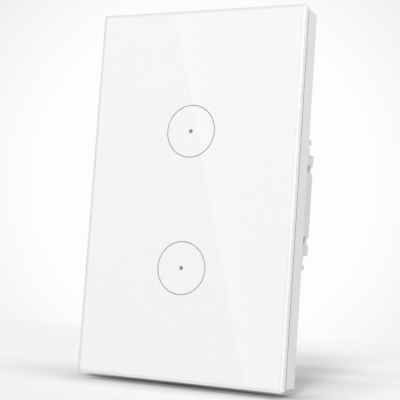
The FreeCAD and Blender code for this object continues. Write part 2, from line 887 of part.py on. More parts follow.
def make_relay_magnet(side, cx):
    """Yoke with its core, the bobbin round the core, and the winding on the bobbin."""
    floor = power_board_rear + relay_base_t
    leg_x = armature_left(cx)
    core_x = leg_x + core_offset
    zs = (relay_z - yoke_w / 2, relay_z + yoke_w / 2)
    leg = block((leg_x, leg_x + yoke_t), (floor, floor + yoke_leg_h), zs)
    foot = block((leg_x, core_x + 2 * core_r), (floor, floor + yoke_t), zs)
    core_top = armature_y - (core_offset + core_r) * armature_tilt - armature_gap
    core_y = (floor + yoke_t, core_top)
    core = post(core_x, relay_z, core_y, core_r)
    save("relay_yoke_" + side, joined([leg, foot, core]))
    flange = core_offset - yoke_t - 2 * bobbin_gap
    low = core_y[0] + bobbin_gap
    high = core_y[1] - 2 * bobbin_gap
    tube_out = core_r + bobbin_gap + bobbin_t
    parts = [post(core_x, relay_z, (low, high), tube_out)]
    for ys in ((low, low + bobbin_t), (high - bobbin_t, high)):
        parts.append(block((core_x - flange, core_x + flange), ys, (relay_z - flange, relay_z + flange)))
    bore = post(core_x, relay_z, (low, high), core_r + bobbin_gap)
    save("relay_bobbin_" + side, joined(parts).cut(bore))
    winding_ys = (low + bobbin_t, high - bobbin_t)
    winding = post(core_x, relay_z, winding_ys, flange - winding_gap)
    save("relay_winding_" + side, winding.cut(post(core_x, relay_z, winding_ys, tube_out)))


def make_relay_armature(side, cx):
    """Iron flap with the contact leaf and its button; it tips about its left lower edge."""
    left = armature_left(cx)
    top = armature_y + armature_t
    iron = block((left, left + armature_len), (armature_y, top),
                 (relay_z - armature_w / 2, relay_z + armature_w / 2))
    leaf = block((left + armature_len - leaf_lap, left + leaf_reach), (top, top + leaf_t),
                 (relay_z - leaf_w / 2, relay_z + leaf_w / 2))
    button_ys = (top - button_h + leaf_t / 2, top + leaf_t / 2 + button_h)
    button = post(left + contact_offset, relay_z, button_ys, button_r)
    save("relay_armature_" + side, joined([iron, leaf, button]))


def make_relay_contacts(side, cx):
    """Fixed contacts: one that the leaf rests near, one that it is pulled down to."""
    left = armature_left(cx)
    contact_x = left + contact_offset
    blade_left = cx + relay_l / 2 - blade_inset
    blade_x = (blade_left, blade_left + fixed_strip_t)
    floor = power_board_rear + relay_base_t
    top = armature_y + armature_t
    button_low = top - button_h + leaf_t / 2
    button_high = top + leaf_t / 2 + button_h
    inner_z = relay_z + button_r
    outer_z = inner_z + fixed_strip_side + fixed_strip_w
    parts = []
    lower_face = button_low - contact_offset * armature_tilt - armature_gap
    upper_face = button_high + armature_gap
    for face, away, sign in ((lower_face, -1, -1), (upper_face, 1, 1)):
        pad_end = face + away * pad_t
        strip_end = pad_end + away * fixed_strip_t
        far_z = relay_z + sign * (outer_z - relay_z)
        near_z = relay_z - sign * (inner_z - relay_z)
        pad_zs = (relay_z - button_r, relay_z + button_r)
        pad = block((contact_x - button_r, contact_x + button_r), sorted((face, pad_end)), pad_zs)
        arm = block((contact_x - button_r, blade_x[1]), sorted((pad_end, strip_end)), sorted((near_z, far_z)))
        blade_zs = sorted((far_z, far_z - sign * fixed_strip_w))
        blade = block(blade_x, (floor, max(pad_end, strip_end)), blade_zs)
        parts.append(joined([pad, arm, blade]))
    save_group("relay_contacts_" + side, parts)


def make_relays():
    for side, cx in (("left", -relay_x), ("right", relay_x)):
        make_relay_case(side, cx)
        make_relay_magnet(side, cx)
        make_relay_armature(side, cx)
        make_relay_contacts(side, cx)


# Supply parts

def make_supply_transformer():
    base = power_board_rear + core_lift
    half_d = core_d / 2
    x_half = core_w / 2
    zs = (supply_z - half_d, supply_z + half_d)
    body = block((supply_x - x_half, supply_x + x_half), (base, base + core_h), zs)
    window_ys = (base + core_yoke, base + core_h - core_yoke)
    cuts = []
    for side in (-1, 1):
        xs = sorted((supply_x + side * core_leg / 2, supply_x + side * (core_leg / 2 + core_window)))
        cuts.append(block(xs, window_ys, zs))
    save("supply_core", without(body, cuts))
    coil_w = core_leg + 2 * (core_window - coil_side_gap)
    coil_d = core_d + 2 * (core_window - coil_side_gap)
    coil_ys = (window_ys[0] + coil_gap, window_ys[1] - coil_gap)
    coil = plate(coil_w, coil_d, coil_corner_r, coil_ys, supply_x, supply_z)
    hole_w = core_leg / 2 + coil_gap
    hole_d = half_d + coil_gap
    leg_hole = block((supply_x - hole_w, supply_x + hole_w), coil_ys, (supply_z - hole_d, supply_z + hole_d))
    foot_xs = (supply_x - coil_foot_w / 2, supply_x + coil_foot_w / 2)
    feet = []
    for side in (-1, 1):
        foot_zs = sorted((supply_z + side * (half_d + coil_foot_gap), supply_z + side * coil_d / 2))
        feet.append(block(foot_xs, (power_board_rear, coil_ys[0]), foot_zs))
    save("supply_winding", joined([coil.cut(leg_hole)] + feet))


def can(x, z, r, h):
    """Round part that stands on the power board."""
    return post(x, z, (power_board_rear, power_board_rear + h), r)


def make_capacitors():
    save("bulk_capacitor", can(bulk_x, bulk_z, bulk_r, bulk_h))
    save("output_capacitor", can(output_x, output_z, output_r, output_h))
    ys = (power_board_rear, power_board_rear + film_h)
    film_xs = (film_x - film_w / 2, film_x + film_w / 2)
    save("film_capacitor", block(film_xs, ys, (film_z - film_d / 2, film_z + film_d / 2)))


def make_line_parts():
    middle = Vec(varistor_x, power_board_rear + varistor_r + varistor_lift, varistor_z - varistor_t / 2)
    disc = Part.makeCylinder(varistor_r, varistor_t, middle, Vec(0, 0, 1))
    legs = []
    half = lead_side / 2
    leg_ys = (power_board_rear, power_board_rear + varistor_r)
    for side in (-1, 1):
        x = varistor_x + side * varistor_leg_x
        legs.append(block((x - half, x + half), leg_ys, (varistor_z - half, varistor_z + half)))
    save("varistor", joined([disc] + legs))
    save("fuse", can(fuse_x, fuse_z, fuse_r, fuse_h))
    save("choke", can(choke_x, choke_z, choke_r, choke_h))


def make_chips():
    small = (small_chip_size, small_chip_lead_count)
    save("touch_chip", chip(touch_chip_x, touch_chip_z, *small, back_front, 1))
    save("rectifier", chip(rectifier_x, rectifier_z, rectifier_size, rectifier_lead_count, power_board_y, -1))
    save("supply_chip", chip(supply_chip_x, supply_chip_z, *small, power_board_y, -1))


make_glass()
make_print()
make_tape()
make_carrier()
make_base_frame()
make_strap()
make_housing()
make_inner_cover()
make_cover_screws()
make_touch_board()
make_touch_spring("touch_spring_upper", *key_spots[0])
make_touch_spring("touch_spring_lower", *key_spots[1])
make_leds()
make_wireless_module()
make_board_connector()
make_power_board()
make_terminal_block()
make_terminal_bars()
for number, pole_x in enumerate(pole_xs, 1):
    make_terminal_clamp("terminal_clamp_%d" % number, pole_x)
    make_terminal_screw("terminal_screw_%d" % number, pole_x)
make_relays()
make_supply_transformer()
make_capacitors()
make_line_parts()
make_chips()
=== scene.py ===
# %% [markdown]
# # A two-key glass touch switch
# The real object is a white plate for one wall box: a sheet of glass with a white print on its back, on a
# shallow moulded frame, and behind the wall a stepped housing that holds the electronics. This notebook
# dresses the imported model. Every piece stays where the model says, and gets its finish here.

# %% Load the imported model
import json
import math

import bmesh
import bpy
from mathutils import Euler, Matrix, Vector

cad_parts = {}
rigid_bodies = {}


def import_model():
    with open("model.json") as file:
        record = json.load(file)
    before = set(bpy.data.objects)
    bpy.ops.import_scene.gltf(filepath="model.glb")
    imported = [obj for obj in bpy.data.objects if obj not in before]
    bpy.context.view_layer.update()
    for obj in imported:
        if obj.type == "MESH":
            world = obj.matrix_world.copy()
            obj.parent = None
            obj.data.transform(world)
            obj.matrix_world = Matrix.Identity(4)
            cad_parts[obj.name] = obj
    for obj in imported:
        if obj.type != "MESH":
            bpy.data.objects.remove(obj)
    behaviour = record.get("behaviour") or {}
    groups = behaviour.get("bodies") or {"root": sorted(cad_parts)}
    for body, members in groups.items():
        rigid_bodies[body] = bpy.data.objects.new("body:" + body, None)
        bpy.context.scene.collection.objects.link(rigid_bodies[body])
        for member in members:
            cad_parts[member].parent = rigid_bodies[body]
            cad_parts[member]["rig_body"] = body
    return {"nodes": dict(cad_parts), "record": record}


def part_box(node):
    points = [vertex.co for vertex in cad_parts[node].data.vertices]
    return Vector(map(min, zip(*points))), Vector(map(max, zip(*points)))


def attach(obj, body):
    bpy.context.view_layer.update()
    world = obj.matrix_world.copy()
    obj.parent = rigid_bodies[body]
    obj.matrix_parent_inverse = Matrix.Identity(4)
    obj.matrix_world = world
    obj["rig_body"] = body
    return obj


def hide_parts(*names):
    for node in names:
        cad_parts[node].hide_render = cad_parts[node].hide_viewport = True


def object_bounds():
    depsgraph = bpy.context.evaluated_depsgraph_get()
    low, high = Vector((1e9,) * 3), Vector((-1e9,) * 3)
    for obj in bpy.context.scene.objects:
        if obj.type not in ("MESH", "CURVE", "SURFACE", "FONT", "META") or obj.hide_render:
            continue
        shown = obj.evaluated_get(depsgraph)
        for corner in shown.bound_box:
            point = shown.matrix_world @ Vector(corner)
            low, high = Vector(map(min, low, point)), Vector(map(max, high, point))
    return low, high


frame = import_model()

MM = 0.001
nodes = frame["nodes"]
cad_low, cad_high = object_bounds()
print("CAD box in mm:", [round(v / MM, 1) for v in (*cad_low, *cad_high)])

# %% [markdown]
# ## The camera comes first
# The photograph is a close view from the right and a little below the middle of the plate, with the camera
# rolled by a few degrees. A camera is a place, three turns and a lens, so those are the values here. They
# come from fitting the plate's four edges, which fixes the lens as well because the edges converge.

# %% Place the camera
camera_place = Vector((158.8, -313.7, -32.3)) * MM
camera_turn = (95.086, -3.971, 26.619)
lens_length = 98.26
sensor_size = 36.0

camera_data = bpy.data.cameras.new("camera")
camera_data.lens = lens_length
camera_data.sensor_width = sensor_size
camera_data.clip_start = 10 * MM
camera = bpy.data.objects.new("camera", camera_data)
camera.location = camera_place
camera.rotation_euler = Euler([math.radians(a) for a in camera_turn], "XYZ")
bpy.context.scene.collection.objects.link(camera)
bpy.context.scene.camera = camera
bpy.context.scene.view_settings.view_transform = "Standard"
print("camera distance in mm:", round(camera_place.length / MM))

# %% [markdown]
# ## Small helpers for node trees
# A material is a small net of nodes. Four steps come back in most of them: arithmetic on one number,
# arithmetic on a place in space, a range carried to another range, and a ramp of colours. Each gets a short
# function, so that the finishes below read like recipes.

# %% Helpers for shader nodes
def grey(value):
    return (value, value, value)


def feed(tree, value, socket):
    """Give the socket another socket's value, or a constant."""
    if isinstance(value, bpy.types.NodeSocket):
        tree.links.new(value, socket)
    else:
        socket.default_value = value


def math_step(tree, operation, first, second):
    step = tree.nodes.new("ShaderNodeMath")
    step.operation = operation
    feed(tree, first, step.inputs[0])
    feed(tree, second, step.inputs[1])
    return step.outputs["Value"]


def vector_step(tree, operation, first, second=None):
    step = tree.nodes.new("ShaderNodeVectorMath")
    step.operation = operation
    feed(tree, first, step.inputs[0])
    if second is not None:
        feed(tree, second, step.inputs[1])
    one_number = operation in ("LENGTH", "DOT_PRODUCT")
    return step.outputs["Value" if one_number else "Vector"]


def carry_range(tree, value, start, end, low, high, smooth=False):
    """Value that runs from low to high as the given one runs from start to end."""
    span = tree.nodes.new("ShaderNodeMapRange")
    if smooth:
        span.interpolation_type = "SMOOTHSTEP"
    span.inputs["From Min"].default_value = start
    span.inputs["From Max"].default_value = end
    span.inputs["To Min"].default_value = low
    span.inputs["To Max"].default_value = high
    tree.links.new(value, span.inputs["Value"])
    return span.outputs["Result"]


def colour_ramp(tree, factor, stops):
    """Colour that follows the stops, each a place from 0 to 1 and a colour."""
    ramp = tree.nodes.new("ShaderNodeValToRGB")
    while len(ramp.color_ramp.elements) < len(stops):
        ramp.color_ramp.elements.new(0.5)
    for element, (position, colour) in zip(ramp.color_ramp.elements, stops):
        element.position = position
        element.color = (*colour, 1.0)
    tree.links.new(factor, ramp.inputs["Fac"])
    return ramp.outputs["Color"]


# %% [markdown]
# ## Small helpers for finishes
# Each finish is one material with a Principled shader. The same few steps come back in most of them: noise
# that changes the colour a little, noise that changes the gloss, and noise that lifts the surface. Object
# coordinates are used throughout, because every piece keeps its place in its mesh and so the grain stays
# at its real size. Noise hardly leaves the middle of its range, so its two shades are set there.

# %% Helpers for finishes
SHADE_PLACES = (0.3, 0.7)


def new_finish(name, colour, roughness):
    """Material with one Principled shader; returns the material, its shader and its place in space."""
    finish = bpy.data.materials.new(name)
    finish.use_nodes = True
    shader = finish.node_tree.nodes["Principled BSDF"]
    shader.inputs["Base Color"].default_value = (*colour, 1.0)
    shader.inputs["Roughness"].default_value = roughness
    place = finish.node_tree.nodes.new("ShaderNodeTexCoord").outputs["Object"]
    return finish, shader, place


def noise(finish, place, size, detail=3.0):
    """Noise whose blobs are about this many metres across."""
    node = finish.node_tree.nodes.new("ShaderNodeTexNoise")
    node.inputs["Scale"].default_value = 1.0 / size
    node.inputs["Detail"].default_value = detail
    finish.node_tree.links.new(place, node.inputs["Vector"])
    return node.outputs["Fac"]


def vary_colour(finish, shader, factor, dark, light):
    """Colour that wanders between two shades."""
    shade = colour_ramp(finish.node_tree, factor, tuple(zip(SHADE_PLACES, (dark, light))))
    finish.node_tree.links.new(shade, shader.inputs["Base Color"])


def vary_roughness(finish, shader, factor, low, high):
    """Gloss that wanders between two values."""
    gloss = carry_range(finish.node_tree, factor, 0.0, 1.0, low, high)
    finish.node_tree.links.new(gloss, shader.inputs["Roughness"])


def lift(finish, shader, factor, height):
    """Relief of this height, in metres."""
    bump = finish.node_tree.nodes.new("ShaderNodeBump")
    bump.inputs["Strength"].default_value = 1.0
    bump.inputs["Distance"].default_value = height
    finish.node_tree.links.new(factor, bump.inputs["Height"])
    finish.node_tree.links.new(bump.outputs["Normal"], shader.inputs["Normal"])


# %% [markdown]
# ## Moulded plastic
# The frame, the carrier, the inner cover and the housing are moulded from one white plastic. The housing's
# white is painted lighter than the frame's, as painted light for the shade of the plate and frame on it. The
# tool is spark eroded, so the skin has a fine matt grain of less than a fifth of a millimetre. Bump is enough
# for a relief that shallow.

# %% Moulded plastic finishes
CLOUD_SIZE = 9 * MM
GRAIN_SIZE = 0.16 * MM
GRAIN_DETAIL = 4.0
GRAIN_HEIGHT = 0.008 * MM
GRAIN_GLOSS = 0.06


def moulded_finish(name, dark, light, roughness):
    finish, shader, place = new_finish(name, light, roughness)
    vary_colour(finish, shader, noise(finish, place, CLOUD_SIZE), dark, light)
    grain = noise(finish, place, GRAIN_SIZE, GRAIN_DETAIL)
    vary_roughness(finish, shader, grain, roughness - GRAIN_GLOSS, roughness + GRAIN_GLOSS)
    lift(finish, shader, grain, GRAIN_HEIGHT)
    return finish


frame_white = moulded_finish("frame_white", grey(0.87), grey(0.9), 0.48)
# Painted light: the housing's white is lighter than the frame's, to make up for the shade of the plate and
# frame on it.
housing_white_painted_light = moulded_finish("housing_white_painted_light", grey(0.93), grey(0.95), 0.5)
terminal_green = moulded_finish("terminal_green", (0.04, 0.2, 0.1), (0.05, 0.24, 0.12), 0.45)
relay_blue = moulded_finish("relay_blue", (0.03, 0.14, 0.4), (0.04, 0.17, 0.46), 0.35)
part_black = moulded_finish("part_black", grey(0.02), grey(0.035), 0.45)
ferrite_black = moulded_finish("ferrite_black", grey(0.03), grey(0.05), 0.6)
# The tape's own dark foam; the seam's strip of painted shade takes this finish too.
tape_and_seam_shade = moulded_finish("tape_and_seam_shade", grey(0.06), grey(0.09), 0.8)
print("materials so far, with the packed ones:", len(bpy.data.materials))

# %% [markdown]
# ## Glass, print and marks
# The panel is clear glass, and its white is ink on the back. That is why the edge on the far side looks
# grey: there the line of sight leaves through the ground edge. Real glass over a print gives this, so the
# panel is modelled that way and not as a white slab, and painted shade on the inside of the ground edge
# makes the grey deeper. The print's front lies a hair inside the glass, as ink that has wetted it, so no film
# of air is left between them. A path tracer seldom finds a lamp through glass that bends light, so here lamp
# light goes straight through, and the print is lit evenly.

# %% Glass and ink finishes
GLASS_BEND = 1.5
BEVEL_CLOUD = 3 * MM
EDGE_FROM_OUTSIDE = grey(0.97)
# Painted shade: the ground edge seen from inside the plate is darker, for the light that doesn't come through
# it.
EDGE_PAINTED_SHADE_INSIDE = grey(0.76)
EDGE_PATCH = 0.8 * MM
EDGE_GLOSS = (0.45, 0.55)
EDGE_GRAIN = 0.1 * MM
EDGE_GRAIN_HEIGHT = 0.003 * MM
INK_CLOUD = 1.5 * MM


def let_light_pass(finish, shader):
    """Light that lamps and walls send through the glass goes straight on."""
    tree = finish.node_tree
    path = tree.nodes.new("ShaderNodeLightPath").outputs
    passing = math_step(tree, "MAXIMUM", path["Is Shadow Ray"], path["Is Diffuse Ray"])
    tree.links.new(math_step(tree, "SUBTRACT", 1.0, passing), shader.inputs["Alpha"])


def clear_finish(name, colour, roughness):
    finish, shader, place = new_finish(name, colour, roughness)
    shader.inputs["Transmission Weight"].default_value = 1.0
    shader.inputs["IOR"].default_value = GLASS_BEND
    let_light_pass(finish, shader)
    return finish, shader, place


def bevel_finish():
    """The bevel is polished less well than the front, so it is a little grey and blurred."""
    finish, shader, place = clear_finish("bevel_glass", grey(0.8), 0.12)
    vary_colour(finish, shader, noise(finish, place, BEVEL_CLOUD), grey(0.78), grey(0.82))
    return finish


def ground_finish():
    """Matt ground glass, darker where it is seen from inside the plate: painted shade for the light that
    doesn't come through it.
    """
    finish, shader, place = new_finish("ground_edge", grey(0.95), 0.5)
    tree = finish.node_tree
    inside = tree.nodes.new("ShaderNodeNewGeometry").outputs["Backfacing"]
    seen = colour_ramp(tree, inside, ((0.0, EDGE_FROM_OUTSIDE), (1.0, EDGE_PAINTED_SHADE_INSIDE)))
    tree.links.new(seen, shader.inputs["Base Color"])
    vary_roughness(finish, shader, noise(finish, place, EDGE_PATCH), *EDGE_GLOSS)
    lift(finish, shader, noise(finish, place, EDGE_GRAIN), EDGE_GRAIN_HEIGHT)
    let_light_pass(finish, shader)
    return finish


def ink_finish(name, dark, light, roughness):
    finish, shader, place = new_finish(name, light, roughness)
    vary_colour(finish, shader, noise(finish, place, INK_CLOUD), dark, light)
    return finish


plate_glass = clear_finish("plate_glass", grey(1.0), 0.0)[0]
bevel_glass = bevel_finish()
ground_edge = ground_finish()
print_white = ink_finish("print_white", grey(0.81), grey(0.83), 0.6)
ring_ink = ink_finish("ring_ink", grey(0.26), grey(0.29), 0.5)
dot_ink = ink_finish("dot_ink", grey(0.2), grey(0.23), 0.5)
print("materials so far, with the packed ones:", len(bpy.data.materials))

# %% [markdown]
# ## Metals and board parts
# Zinc-plated steel is a slightly uneven grey with small patches of other gloss. Boards are green lacquer
# over copper. Copper, brass and tin share one recipe with other colours, and so do lacquers, coil tape and
# sleeves.

# %% Metal and board finishes
METAL_PATCH = 2.5 * MM
METAL_SCRATCH = 0.4 * MM
METAL_GLOSS = 0.08
LACQUER_CLOUD = 1.2 * MM
LACQUER_COAT = 0.4


def metal_finish(name, dark, light, roughness):
    finish, shader, place = new_finish(name, light, roughness)
    shader.inputs["Metallic"].default_value = 1.0
    vary_colour(finish, shader, noise(finish, place, METAL_PATCH), dark, light)
    scratch = noise(finish, place, METAL_SCRATCH)
    vary_roughness(finish, shader, scratch, roughness - METAL_GLOSS, roughness + METAL_GLOSS)
    return finish


def lacquer_finish(name, dark, light, roughness):
    finish, shader, place = new_finish(name, light, roughness)
    vary_colour(finish, shader, noise(finish, place, LACQUER_CLOUD), dark, light)
    shader.inputs["Coat Weight"].default_value = LACQUER_COAT
    return finish


zinc_steel = metal_finish("zinc_steel", (0.52, 0.54, 0.56), (0.62, 0.63, 0.64), 0.34)
spring_steel = metal_finish("spring_steel", grey(0.55), grey(0.62), 0.25)
tin_plate = metal_finish("tin_plate", grey(0.6), grey(0.68), 0.3)
gold_flash = metal_finish("gold_flash", (0.78, 0.55, 0.18), (0.86, 0.64, 0.26), 0.25)
copper_wire = metal_finish("copper_wire", (0.55, 0.2, 0.08), (0.65, 0.27, 0.12), 0.35)
contact_brass = metal_finish("contact_brass", (0.66, 0.46, 0.2), (0.74, 0.54, 0.26), 0.3)
board_green = lacquer_finish("board_green", (0.01, 0.12, 0.04), (0.015, 0.17, 0.06), 0.35)
module_blue = lacquer_finish("module_blue", (0.01, 0.03, 0.12), (0.015, 0.045, 0.17), 0.35)
can_black = lacquer_finish("can_black", grey(0.02), grey(0.03), 0.3)
film_yellow = lacquer_finish("film_yellow", (0.62, 0.38, 0.03), (0.7, 0.44, 0.05), 0.35)
varistor_blue = lacquer_finish("varistor_blue", (0.02, 0.08, 0.3), (0.03, 0.1, 0.36), 0.3)
led_white = lacquer_finish("led_white", grey(0.75), grey(0.8), 0.4)
print("materials so far, with the packed ones:", len(bpy.data.materials))

# %% [markdown]
# ## A finish for every node
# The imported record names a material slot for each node. One list pairs the slots with the finishes above, so
# that no node is left without one, and a piece that stands for a node later takes its finish from here too.

# %% Give every node its finish
finishes_by_slot = {
    "clear_glass": plate_glass,
    "white_print": print_white,
    "tape": tape_and_seam_shade,
    "white_plastic": frame_white,
    "housing_plastic": housing_white_painted_light,
    "zinc_steel": zinc_steel,
    "spring_steel": spring_steel,
    "circuit_board": board_green,
    "module_board": module_blue,
    "led_body": led_white,
    "chip_black": part_black,
    "tin_plate": tin_plate,
    "gold_pin": gold_flash,
    "terminal_plastic": terminal_green,
    "ferrite": ferrite_black,
    "coil_tape": film_yellow,
    "can_sleeve": can_black,
    "film_case": film_yellow,
    "varistor_coat": varistor_blue,
    "fuse_case": can_black,
    "relay_case": relay_blue,
    "relay_base": part_black,
    "copper_wire": copper_wire,
    "contact_brass": contact_brass,
}
slot_of = {s["node"]: s["material_slot"] for s in frame["record"]["subparts"]}
body_of = {name: node["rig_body"] for name, node in nodes.items()}


def set_finish(piece, finish):
    piece.data.materials.clear()
    piece.data.materials.append(finish)


for name, node in nodes.items():
    set_finish(node, finishes_by_slot[slot_of[name]])
print("nodes with a finish:", len(nodes))

# %% [markdown]
# ## Soft edges on the mouldings
# No moulded part has a knife edge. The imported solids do, so each visible moulding is copied, its loose
# triangles are merged, flat areas become single faces again, and a Bevel modifier rounds what is left. The
# copy stands for the node and takes its body and its slot.

# %% Helpers for copies
MERGE_REACH = 0.002 * MM
FLAT_ANGLE = math.radians(2)


def add_piece(name, mesh):
    piece = bpy.data.objects.new(name, mesh)
    bpy.context.scene.collection.objects.link(piece)
    return piece


def merged_copy(node_name, name):
    """Copy of a node's mesh with its triangles joined and flat areas made single faces."""
    mesh = nodes[node_name].data.copy()
    shape = bmesh.new()
    shape.from_mesh(mesh)
    bmesh.ops.remove_doubles(shape, verts=shape.verts, dist=MERGE_REACH)
    bmesh.ops.dissolve_limit(shape, angle_limit=FLAT_ANGLE, verts=shape.verts, edges=shape.edges)
    shape.to_mesh(mesh)
    shape.free()
    return add_piece(name, mesh)


def plain_mesh(piece):
    """Bake the piece's modifiers into its mesh."""
    depsgraph = bpy.context.evaluated_depsgraph_get()
    made = bpy.data.meshes.new_from_object(piece.evaluated_get(depsgraph))
    piece.modifiers.clear()
    piece.data = made
    print(piece.name, "faces:", len(made.polygons))


def stand_for(piece, node_name):
    """The piece takes the node's body, and hides the node."""
    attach(piece, body_of[node_name])
    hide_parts(node_name)


# %% Round the mouldings' edges
SHARP_ANGLE = math.radians(30)
EDGE_STEPS = 2


def soft_edged(node_name, name, radius):
    piece = merged_copy(node_name, name)
    piece.data.shade_smooth()
    bevel = piece.modifiers.new("soft_edges", "BEVEL")
    bevel.width = radius
    bevel.segments = EDGE_STEPS
    bevel.limit_method = "ANGLE"
    bevel.angle_limit = SHARP_ANGLE
    bevel.use_clamp_overlap = True
    bevel.harden_normals = False
    bevel.miter_outer = "MITER_ARC"
    flatten = piece.modifiers.new("flat_faces", "WEIGHTED_NORMAL")
    flatten.keep_sharp = True
    plain_mesh(piece)
    set_finish(piece, finishes_by_slot[slot_of[node_name]])
    stand_for(piece, node_name)


soft_edged("base_frame", "frame_moulding", 0.2 * MM)
soft_edged("rear_housing", "housing_moulding", 0.25 * MM)
soft_edged("inner_cover", "cover_moulding", 0.15 * MM)
soft_edged("panel_carrier", "carrier_moulding", 0.15 * MM)
soft_edged("mounting_strap", "strap_plate", 0.1 * MM)

# %% [markdown]
# ## The glass panel
# A plate with round corners is one outline swept through a short profile: the front, the ground bevel, the
# straight side, the rear arris and the clear rim that the print leaves. Each ring of points is the outline
# drawn a little smaller, so the bevel keeps the same width round the corners.

# %% Helpers for the glass plate
corner_steps = 10
least_radius = 0.1 * MM


def rounded_outline(low, high, radius, inset, y):
    """Points round a rectangle with round corners, drawn smaller by the inset."""
    reach = max(radius - inset, least_radius)
    edge = inset + reach
    centres = [
        (high.x - edge, high.z - edge, 0),
        (low.x + edge, high.z - edge, 90),
        (low.x + edge, low.z + edge, 180),
        (high.x - edge, low.z + edge, 270),
    ]
    points = []
    for x, z, start in centres:
        for step in range(corner_steps + 1):
            angle = math.radians(start + 90 * step / corner_steps)
            points.append(Vector((x + reach * math.cos(angle), y, z + reach * math.sin(angle))))
    return points


def lofted(name, loops):
    """Closed mesh through loops of points, with a flat face at each end."""
    shape = bmesh.new()
    rings = [[shape.verts.new(p) for p in loop] for loop in loops]
    count = len(rings[0])
    for near, far in zip(rings, rings[1:]):
        for i in range(count):
            j = (i + 1) % count
            shape.faces.new((near[i], near[j], far[j], far[i]))
    shape.faces.new(rings[0])
    shape.faces.new(rings[-1])
    bmesh.ops.recalc_face_normals(shape, faces=shape.faces)
    mesh = bpy.data.meshes.new(name)
    shape.to_mesh(mesh)
    shape.free()
    return add_piece(name, mesh)


# %% [markdown]
# ## Crisp flats on the plate
# Smooth shading blends normals across an edge, which would bend the reflection near the plate's corners. So
# the edges of the two large flat faces are marked sharp. A face's direction says which finish it shows: the
# front is polished, the slanted part is the bevel, the large back face is print, and the rest is ground.

# %% Glass plate
glass_low, glass_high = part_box("glass_panel")
corner_radius = 0.7 * MM
front_bevel = 0.9 * MM
bevel_depth = 0.45 * MM
arris = 0.08 * MM
ink_sink = 0.01 * MM
clear_rim = 0.5 * MM
mark_thickness = 0.015 * MM
smooth_angle = math.radians(12)
straight_on = 0.99
slanted = 0.2


def is_large_flat(face):
    return len(face.vertices) > 4


def plate_finish(face):
    towards_room = -face.normal.y
    if towards_room > straight_on:
        return plate_glass
    if towards_room > slanted:
        return bevel_glass
    return print_white if is_large_flat(face) else ground_edge


def plate_outlines():
    """Outlines of the plate from its front to its back."""
    front = glass_low.y + mark_thickness / 2
    rear = glass_high.y + ink_sink
    arris_depth = arris * bevel_depth / front_bevel
    profile = [
        (front_bevel + arris, front),
        (front_bevel - arris, front + arris_depth),
        (arris, front + bevel_depth - arris_depth),
        (0.0, front + bevel_depth + arris),
        (0.0, rear - arris),
        (arris, rear),
        (clear_rim, rear),
    ]
    return [rounded_outline(glass_low, glass_high, corner_radius, inset, y) for inset, y in profile]


def make_glass_plate():
    plate = lofted("glass_plate", plate_outlines())
    plate.data.shade_smooth()
    plate.data.set_sharp_from_angle(angle=smooth_angle)
    flat_edges = {key for face in plate.data.polygons if is_large_flat(face) for key in face.edge_keys}
    for edge in plate.data.edges:
        if edge.key in flat_edges:
            edge.use_edge_sharp = True
    finishes = (plate_glass, bevel_glass, ground_edge, print_white)
    for finish in finishes:
        plate.data.materials.append(finish)
    for face in plate.data.polygons:
        face.material_index = finishes.index(plate_finish(face))
    print("glass_plate faces:", len(plate.data.polygons))
    stand_for(plate, "glass_panel")


make_glass_plate()

# %% [markdown]
# ## Geometry Nodes, and why here
# A few pieces on this switch are one small shape repeated, or one section carried along a line: the two
# touch marks, the dark strip of painted shade that runs round the plate, the touch springs, the cover screws
# and the relay windings. Geometry Nodes suit those, because the sizes stay named inputs. Each tree ends in
# real geometry with its finish, which then becomes a plain mesh.

# %% Helpers for Geometry Nodes
def live_socket(sockets, name):
    """Some nodes have a socket of each name for every kind of value; this is the one in use."""
    return next(s for s in sockets if s.name == name and s.enabled)


def new_tree(name, sizes):
    """Geometry Nodes tree with a finish and these sizes as inputs: name and kind of socket."""
    tree = bpy.data.node_groups.new(name, "GeometryNodeTree")
    tree.interface.new_socket("Geometry", in_out="OUTPUT", socket_type="NodeSocketGeometry")
    tree.interface.new_socket("Finish", in_out="INPUT", socket_type="NodeSocketMaterial")
    for label, kind in sizes:
        tree.interface.new_socket(label, in_out="INPUT", socket_type="NodeSocket" + kind)
    return tree, tree.nodes.new("NodeGroupInput").outputs


def add(tree, kind, values, **settings):
    """Add a node, set its options and inputs, and return its first output in use."""
    node = tree.nodes.new(kind)
    for option, value in settings.items():
        setattr(node, option, value)
    for name, value in values.items():
        feed(tree, value, live_socket(node.inputs, name))
    return next(s for s in node.outputs if s.enabled)


def join(tree, parts):
    node = tree.nodes.new("GeometryNodeJoinGeometry")
    for part in parts:
        tree.links.new(part, node.inputs[0])
    return node.outputs[0]


def end_tree(tree, given, geometry):
    """Finish the tree with Realize Instances and Set Material."""
    real = add(tree, "GeometryNodeRealizeInstances", {"Geometry": geometry})
    done = add(tree, "GeometryNodeSetMaterial", {"Geometry": real, "Material": given["Finish"]})
    tree.links.new(done, tree.nodes.new("NodeGroupOutput").inputs[0])


def grow(tree, name, values):
    """Plain mesh object that the tree makes with these values."""
    piece = add_piece(name, bpy.data.meshes.new(name))
    growth = piece.modifiers.new("growth", "NODES")
    growth.node_group = tree
    for item in tree.interface.items_tree:
        if item.in_out == "INPUT":
            growth[item.identifier] = values[item.name]
    plain_mesh(piece)
    return piece


# %% [markdown]
# ## Curves and places
# Wires, threads, ribbons and the seam's strip of painted shade are all a section carried along a path, so
# circle, rectangle and spiral come first, and one function carries one along the other. A node makes its shape
# lying flat, and FACE_ROOM turns its top towards the room.

# %% Helpers for curves and places
FACE_ROOM = (math.radians(90), 0.0, 0.0)


def circle(tree, steps, radius):
    return add(tree, "GeometryNodeCurvePrimitiveCircle", {"Resolution": steps, "Radius": radius})


def rectangle(tree, width, height):
    return add(tree, "GeometryNodeCurvePrimitiveQuadrilateral", {"Width": width, "Height": height})


